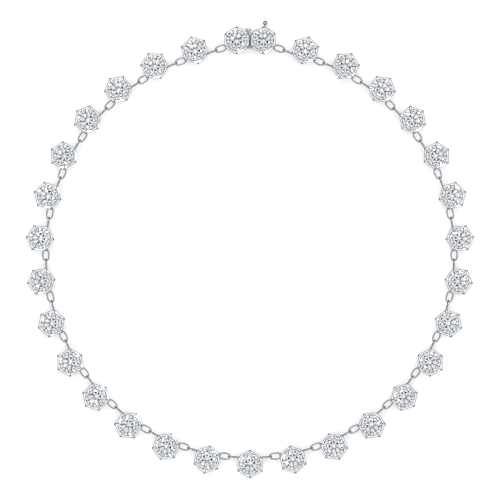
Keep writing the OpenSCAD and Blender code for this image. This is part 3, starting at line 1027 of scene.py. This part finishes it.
def pale_surface(stage):
    """The matt material of the surface, which gives off a little light."""
    material, nodes, links, shader, coordinates = new_material("pale_surface")
    shader.inputs["Roughness"].default_value = stage.floor_rough
    shader.inputs["Specular IOR Level"].default_value = stage.floor_gloss
    grain = noise(nodes, links, coordinates, *SURFACE_GRAIN)
    colour = blended(nodes, links, grain, stage.floor, stage.floor_pale)
    links.new(colour.outputs["Result"], shader.inputs["Base Color"])
    links.new(colour.outputs["Result"], shader.inputs["Emission Color"])
    shader.inputs["Emission Strength"].default_value = stage.glow
    return material


def lay_surface(scene):
    """Lays the surface, which the metal and the stones don't mirror."""
    stage = scene.riviere_stage
    bm = bmesh.new()
    bmesh.ops.create_grid(bm, x_segments=1, y_segments=1, size=stage.floor_w / 2)
    mesh = bpy.data.meshes.new("surface")
    bm.to_mesh(mesh)
    bm.free()
    mesh.materials.append(pale_surface(stage))
    floor = bpy.data.objects.new("surface", mesh)
    floor.visible_glossy = False
    scene.collection.objects.link(floor)


def light_all_round(scene):
    """Lights the scene from all round, by height."""
    world = bpy.data.worlds.new("studio")
    world.use_nodes = True
    nodes, links = world.node_tree.nodes, world.node_tree.links
    coordinates = nodes.new("ShaderNodeTexCoord")
    parts = nodes.new("ShaderNodeSeparateXYZ")
    level = nodes.new("ShaderNodeMapRange")
    level.inputs["From Min"].default_value = -1.0
    ramp = nodes.new("ShaderNodeValToRGB")
    links.new(coordinates.outputs["Generated"], parts.inputs["Vector"])
    links.new(parts.outputs["Z"], level.inputs["Value"])
    links.new(level.outputs["Result"], ramp.inputs["Fac"])
    links.new(ramp.outputs["Color"], nodes["Background"].inputs["Color"])
    elements = ramp.color_ramp.elements
    elements[0].position, elements[1].position = SKY[0][0], SKY[-1][0]
    for height, _ in SKY[1:-1]:
        elements.new(height)
    for element, (_, light) in zip(elements, SKY):
        element.color = (*(light * c for c in scene.riviere_stage.daylight), 1)
    scene.world = world


def softbox(scene, name, place, target, width, radiance, colour):
    """A square light that faces its target and isn't seen by the camera."""
    light = bpy.data.lights.new(name, "AREA")
    light.shape = "SQUARE"
    light.size = width
    light.energy = radiance * math.pi * width * width
    light.color = colour
    obj = bpy.data.objects.new(name, light)
    obj.location = place
    obj.rotation_euler = (target - place).to_track_quat("-Z", "Y").to_euler()
    obj.visible_camera = False
    scene.collection.objects.link(obj)


def place_camera(scene, p):
    """Places the camera straight above, so that the picture shows its width at the stones."""
    stage = scene.riviere_stage
    camera = bpy.data.objects.new("camera", bpy.data.cameras.new("camera"))
    camera.data.lens = stage.lens
    camera.data.sensor_width = SENSOR_W
    camera.data.clip_end = FAR_END
    camera.location = (0, stage.view_y, stage.view_w * stage.lens / SENSOR_W + p.crown_z)
    scene.collection.objects.link(camera)
    scene.camera = camera


class RIVIERE_OT_stage(bpy.types.Operator):
    """Lay the pale surface and place the studio light and the camera"""

    bl_idname = "riviere.stage"
    bl_label = "Stage"

    def execute(self, context):
        scene = context.scene
        p = plan(scene)
        lay_surface(scene)
        light_all_round(scene)
        middle = Vector((0, p.loop_y, 0))
        for name, place, width, radiance, colour in SOFTBOXES:
            softbox(scene, name, Vector(place), middle, width, radiance, colour)
        place_camera(scene, p)
        scene.view_settings.view_transform = "Standard"
        scene.view_settings.look = "None"
        return {"FINISHED"}


class RIVIERE_PT_panel(bpy.types.Panel):
    """Lists the pieces of the necklace and their sizes"""

    bl_idname = "RIVIERE_PT_panel"
    bl_label = "Riviere Necklace"
    bl_space_type = "VIEW_3D"
    bl_region_type = "UI"
    bl_category = "Riviere"

    def draw(self, context):
        layout = self.layout
        for operator in OPERATORS:
            layout.operator(operator.bl_idname)
        for name in GROUPS:
            group = getattr(context.scene, name)
            box = layout.box()
            box.label(text=name.replace("riviere_", "").capitalize())
            for prop in group.bl_rna.properties:
                if prop.identifier not in ("rna_type", "name"):
                    box.prop(group, prop.identifier)


GROUPS = {
    "riviere_stone": RiviereStone,
    "riviere_basket": RiviereBasket,
    "riviere_chain": RiviereChain,
    "riviere_clasp": RiviereClasp,
    "riviere_catch": RiviereCatch,
    "riviere_finish": RiviereFinish,
    "riviere_stage": RiviereStage,
}
OPERATORS = (RIVIERE_OT_stage, RIVIERE_OT_stones, RIVIERE_OT_settings, RIVIERE_OT_clasp, RIVIERE_OT_catch)
CLASSES = (*GROUPS.values(), *OPERATORS, RIVIERE_PT_panel)


def register():
    for cls in CLASSES:
        bpy.utils.register_class(cls)
    for name, group in GROUPS.items():
        setattr(bpy.types.Scene, name, PointerProperty(type=group))


def unregister():
    for name in GROUPS:
        delattr(bpy.types.Scene, name)
    for cls in reversed(CLASSES):
        bpy.utils.unregister_class(cls)


def main():
    register()
    bpy.ops.riviere.stage()
    bpy.ops.riviere.stones()
    bpy.ops.riviere.settings()
    bpy.ops.riviere.clasp()
    bpy.ops.riviere.catch()


if __name__ == "__main__":
    main()
